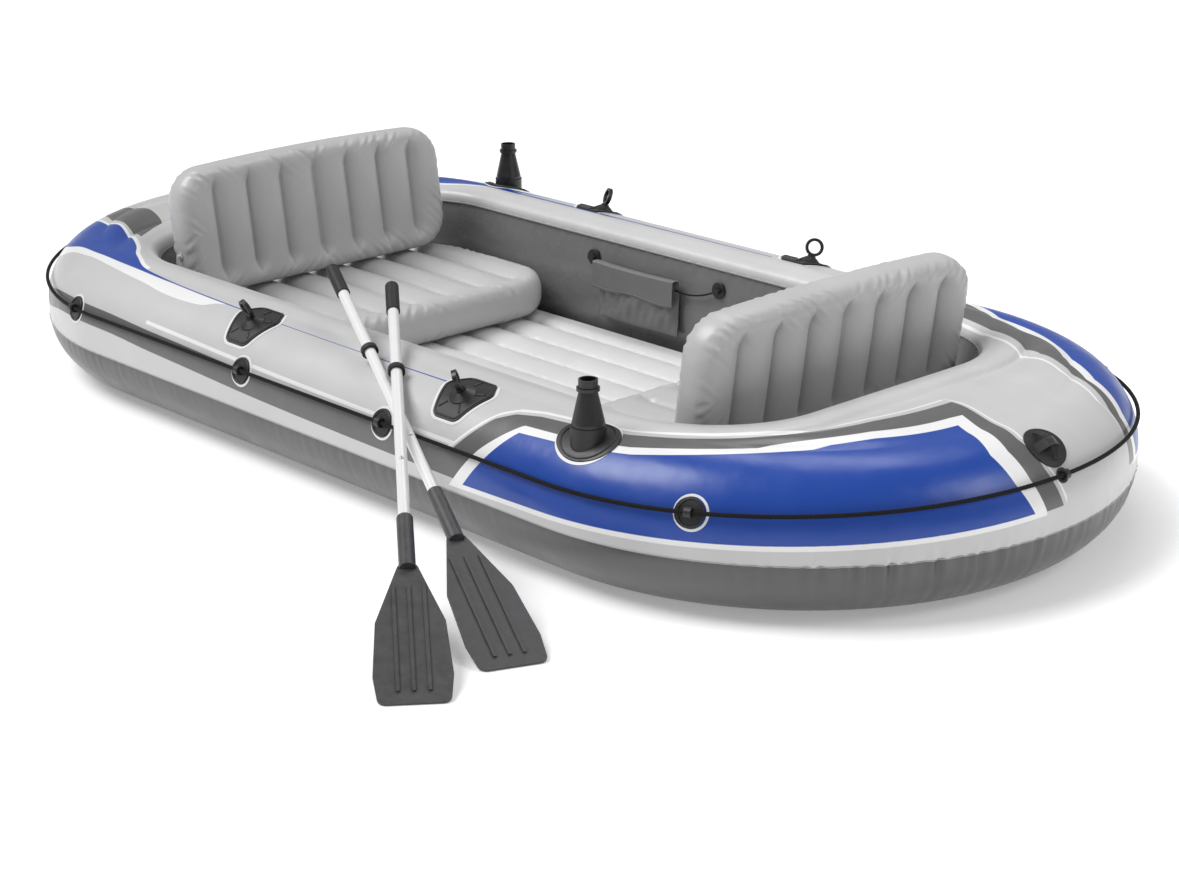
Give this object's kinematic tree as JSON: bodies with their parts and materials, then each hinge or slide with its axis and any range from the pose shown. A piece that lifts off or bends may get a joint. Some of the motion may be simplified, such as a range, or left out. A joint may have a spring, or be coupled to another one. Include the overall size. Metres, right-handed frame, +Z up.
{
  "type": "inflatable dinghy",
  "caption": "Inflatable dinghy with a welded tube hull, channelled air floor, two seats with folding backrests, swivelling oarlocks, rod holders, grab rope and oars.",
  "frame": {"origin": "middle of the underside of the hull, on the ground", "axes": "+X to the bow along the length, +Y to port, +Z up"},
  "size_m": [3.1532, 2.0963, 0.5369],
  "materials": {
    "deck_vinyl": "satin welded PVC sheet with printed blue and grey panels",
    "dark_vinyl": "satin welded PVC sheet",
    "floor_vinyl": "soft satin PVC sheet",
    "seat_vinyl": "satin PVC sheet, welded in channels",
    "clear_vinyl": "moulded soft PVC",
    "pouch_vinyl": "supported PVC sheet",
    "rope_nylon": "braided nylon",
    "webbing": "woven nylon webbing",
    "shaft_aluminium": "clear anodised tube",
    "blade_plastic": "moulded polypropylene",
    "button_steel": "bright steel",
    "grip_rubber": "moulded rubber",
    "patch_rubber": "moulded PVC rubber, fine grain",
    "moulded_black": "moulded plastic, fine grain"
  },
  "bodies": {
    "hull": {"floor_beams": "floor_vinyl", "floor_mattress": "floor_vinyl", "floor_sheet": "floor_vinyl", "floor_valve_body": "moulded_black", "grab_rope_knot": "rope_nylon", "grab_rope_port": "rope_nylon", "grab_rope_starboard": "rope_nylon", "handle_patch_bow": "patch_rubber", "handle_patch_stern": "patch_rubber", "handle_strap_bow": "webbing", "handle_strap_stern": "webbing", "hull_bottom_skin": "dark_vinyl", "hull_chamber_baffle": "floor_vinyl", "hull_inner_wall": "dark_vinyl", "hull_seam_welt": "deck_vinyl", "hull_top_skin": "deck_vinyl", "inner_valve_body": "moulded_black", "main_valve_body": "moulded_black", "oarlock_base_port_bow": "moulded_black", "oarlock_base_port_stern": "moulded_black", "oarlock_base_starboard_bow": "moulded_black", "oarlock_base_starboard_stern": "moulded_black", "pouch_bag": "pouch_vinyl", "pouch_cords": "rope_nylon", "pouch_flap": "pouch_vinyl", "pouch_grommets": "patch_rubber", "rod_holder_base_port": "moulded_black", "rod_holder_base_starboard": "moulded_black", "rod_holder_cup_port": "moulded_black", "rod_holder_cup_starboard": "moulded_black", "rope_anchor_bow": "patch_rubber", "rope_grommets_port": "patch_rubber", "rope_grommets_starboard": "patch_rubber"},
    "oarlock_ring_starboard_stern": {"oarlock_ring_starboard_stern": "moulded_black"},
    "oarlock_ring_starboard_bow": {"oarlock_ring_starboard_bow": "moulded_black"},
    "oarlock_ring_port_stern": {"oarlock_ring_port_stern": "moulded_black"},
    "oarlock_ring_port_bow": {"oarlock_ring_port_bow": "moulded_black"},
    "main_valve_cap": {"main_valve_cap": "moulded_black"},
    "inner_valve_cap": {"inner_valve_cap": "moulded_black"},
    "floor_valve_cap": {"floor_valve_cap": "moulded_black"},
    "seat_stern": {"seat_cushion_stern": "seat_vinyl", "seat_valve_stern": "clear_vinyl"},
    "backrest_stern": {"backrest_stern": "seat_vinyl", "backrest_valve_stern": "clear_vinyl"},
    "seat_bow": {"seat_cushion_bow": "seat_vinyl", "seat_valve_bow": "clear_vinyl"},
    "backrest_bow": {"backrest_bow": "seat_vinyl", "backrest_valve_bow": "clear_vinyl"},
    "oar_front": {"oar_front_blade": "blade_plastic", "oar_front_lower_shaft": "shaft_aluminium", "oar_front_upper_shaft": "shaft_aluminium", "oar_front_grip": "grip_rubber"},
    "oar_front_collar": {"oar_front_collar": "grip_rubber"},
    "oar_front_button": {"oar_front_button": "button_steel"},
    "oar_rear": {"oar_rear_blade": "blade_plastic", "oar_rear_lower_shaft": "shaft_aluminium", "oar_rear_upper_shaft": "shaft_aluminium", "oar_rear_grip": "grip_rubber"},
    "oar_rear_collar": {"oar_rear_collar": "grip_rubber"},
    "oar_rear_button": {"oar_rear_button": "button_steel"}
  },
  "joints": [
    {"name": "oarlock_swivel_starboard_stern", "type": "hinge", "parent": "hull", "child": "oarlock_ring_starboard_stern", "pos_m": [-0.27, -0.66101, 0.31703], "axis": [0, -0.4067, 0.9135], "continuous": true},
    {"name": "oarlock_swivel_starboard_bow", "type": "hinge", "parent": "hull", "child": "oarlock_ring_starboard_bow", "pos_m": [0.487, -0.66101, 0.31703], "axis": [0, -0.4067, 0.9135], "continuous": true},
    {"name": "oarlock_swivel_port_stern", "type": "hinge", "parent": "hull", "child": "oarlock_ring_port_stern", "pos_m": [-0.487, 0.66101, 0.31703], "axis": [0, 0.4067, 0.9135], "continuous": true},
    {"name": "oarlock_swivel_port_bow", "type": "hinge", "parent": "hull", "child": "oarlock_ring_port_bow", "pos_m": [0.27, 0.66101, 0.31703], "axis": [0, 0.4067, 0.9135], "continuous": true},
    {"name": "main_valve_cap_hinge", "type": "hinge", "parent": "hull", "child": "main_valve_cap", "pos_m": [-1.326, 0, 0.3424], "axis": [0, -1, 0], "range_deg": [0, 150]},
    {"name": "inner_valve_cap_hinge", "type": "hinge", "parent": "hull", "child": "inner_valve_cap", "pos_m": [-1.17, 0.09, 0.3424], "axis": [0, -1, 0], "range_deg": [0, 150]},
    {"name": "floor_valve_cap_hinge", "type": "hinge", "parent": "hull", "child": "floor_valve_cap", "pos_m": [0.274, -0.41956, 0.0964], "axis": [0, -1, 0], "range_deg": [0, 150]},
    {"name": "seat_stern_lift", "type": "slide", "parent": "hull", "child": "seat_stern", "axis": [0, 0, 1], "range_m": [0, 0.35]},
    {"name": "backrest_stern_fold", "type": "hinge", "parent": "seat_stern", "child": "backrest_stern", "pos_m": [-0.85, 0, 0.2051], "axis": [0, 1, 0], "range_deg": [0, 90]},
    {"name": "seat_bow_lift", "type": "slide", "parent": "hull", "child": "seat_bow", "axis": [0, 0, 1], "range_m": [0, 0.35]},
    {"name": "backrest_bow_fold", "type": "hinge", "parent": "seat_bow", "child": "backrest_bow", "pos_m": [0.85, 0, 0.2051], "axis": [0, -1, 0], "range_deg": [0, 90]},
    {"name": "oar_front_lift", "type": "slide", "parent": "hull", "child": "oar_front", "axis": [0, 0, 1], "range_m": [0, 0.3]},
    {"name": "oar_front_collar_slide", "type": "slide", "parent": "oar_front", "child": "oar_front_collar", "axis": [-0.7542, 0.5767, 0.314], "range_m": [0, 0.18]},
    {"name": "oar_front_button_press", "type": "slide", "parent": "oar_front", "child": "oar_front_button", "axis": [-0.2494, 0.1907, -0.9494], "range_m": [0, 0.003], "stiffness_N_per_m": 1000, "springref_m": -0.002},
    {"name": "oar_rear_pull", "type": "slide", "parent": "hull", "child": "oar_rear", "axis": [-0.8711, 0.3662, 0.3272], "range_m": [0, 0.06]},
    {"name": "oar_rear_collar_slide", "type": "slide", "parent": "oar_rear", "child": "oar_rear_collar", "axis": [-0.8711, 0.3662, 0.3272], "range_m": [0, 0.18]},
    {"name": "oar_rear_button_press", "type": "slide", "parent": "oar_rear", "child": "oar_rear_button", "axis": [-0.3016, 0.1268, -0.9449], "range_m": [0, 0.003], "stiffness_N_per_m": 1000, "springref_m": -0.002}
  ]
}
